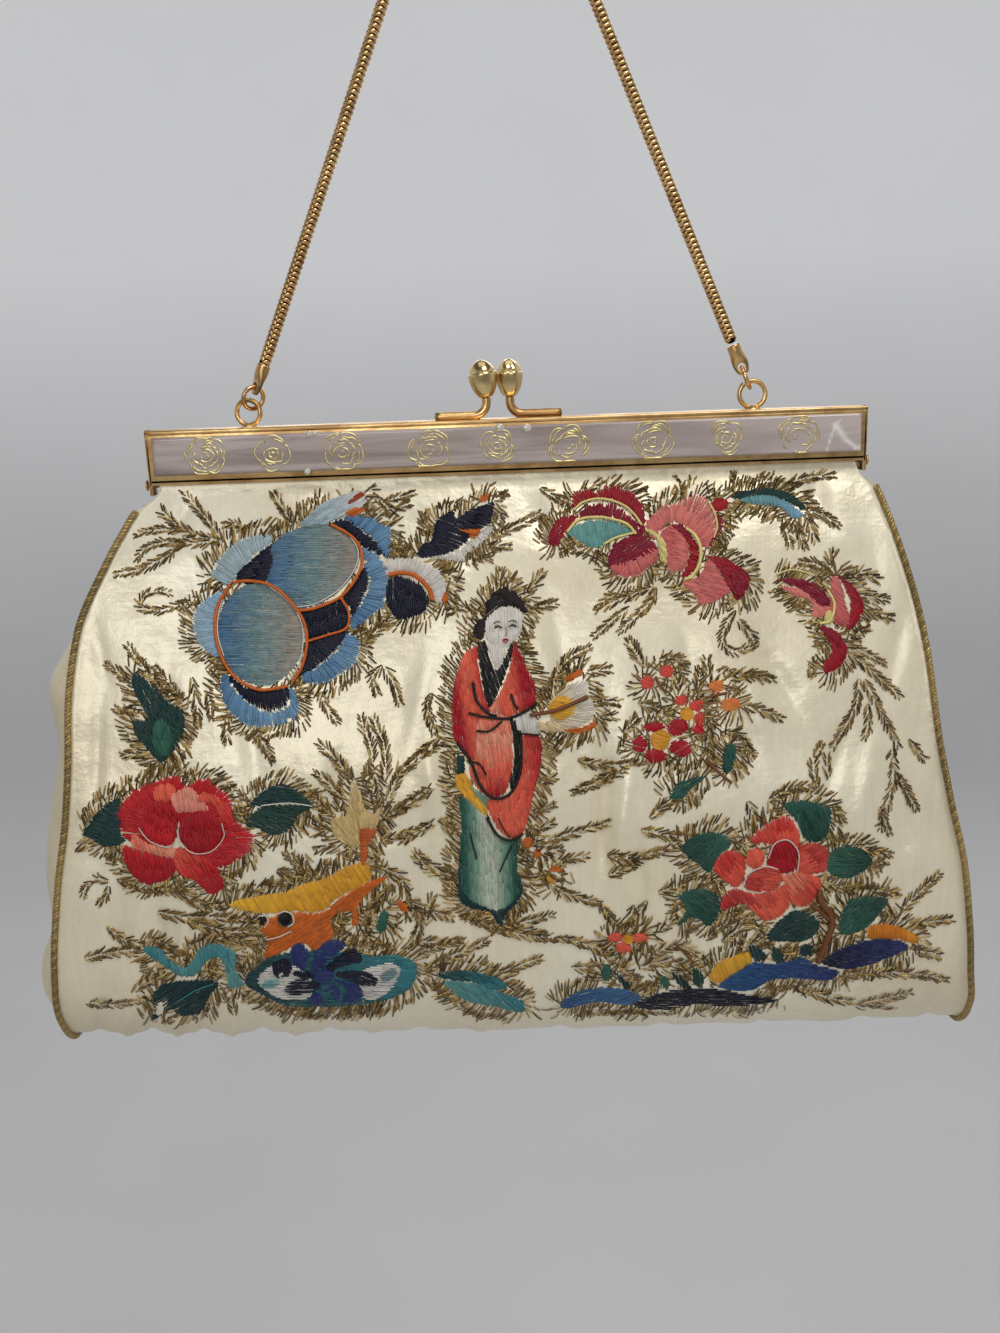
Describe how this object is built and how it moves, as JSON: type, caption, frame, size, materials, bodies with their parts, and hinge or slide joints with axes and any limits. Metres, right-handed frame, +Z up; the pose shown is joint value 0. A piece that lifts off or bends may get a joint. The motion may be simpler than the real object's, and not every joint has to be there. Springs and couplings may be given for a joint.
{
  "type": "embroidered evening bag",
  "caption": "Satin evening bag with silk and gold-thread flower embroidery, a gilt box frame with pearl bars, an acorn kiss clasp and a snake-chain handle.",
  "frame": {"origin": "underside of the snake chain's top bend, where a hook holds the bag up", "axes": "+Z up, -Y out of the bag's front, +X to the right as seen from the front"},
  "size_m": [0.2302, 0.054, 0.2958],
  "materials": {
    "ivory_satin": "aged ivory satin with a soft sheen and small puckers",
    "gold_cord": "twisted gold thread piping, dulled",
    "gold_thread": "dull bronze-gold metal thread in short slanting stitches",
    "silk_thread": "glossy floss silk in shaded blues, reds, magentas, greens and yellows",
    "gilt_frame": "gilt metal, worn to brown along its edges",
    "gilt_clasp": "polished gilt, worn silvery on the domes",
    "gilt_chain": "gilt snake chain with dark gaps between its scales",
    "pearl_plastic": "mauve-grey pearl plastic with soft streaks",
    "gold_foil": "fine embossed gold foil lines, worn in places"
  },
  "bodies": {
    "root": {"bag_panel": "ivory_satin", "gusset_left": "ivory_satin", "gusset_right": "ivory_satin", "piping_left": "gold_cord", "piping_right": "gold_cord", "frame_front": "gilt_frame", "frame_back": "gilt_frame", "pearl_bar_front": "pearl_plastic", "pearl_bar_back": "pearl_plastic", "hinge_pin_left": "gilt_frame", "hinge_pin_right": "gilt_frame", "knob_front": "gilt_clasp", "knob_back": "gilt_clasp", "jump_ring_left": "gilt_chain", "jump_ring_right": "gilt_chain", "end_cap_left": "gilt_chain", "end_cap_right": "gilt_chain", "snake_chain": "gilt_chain"}
  },
  "joints": []
}
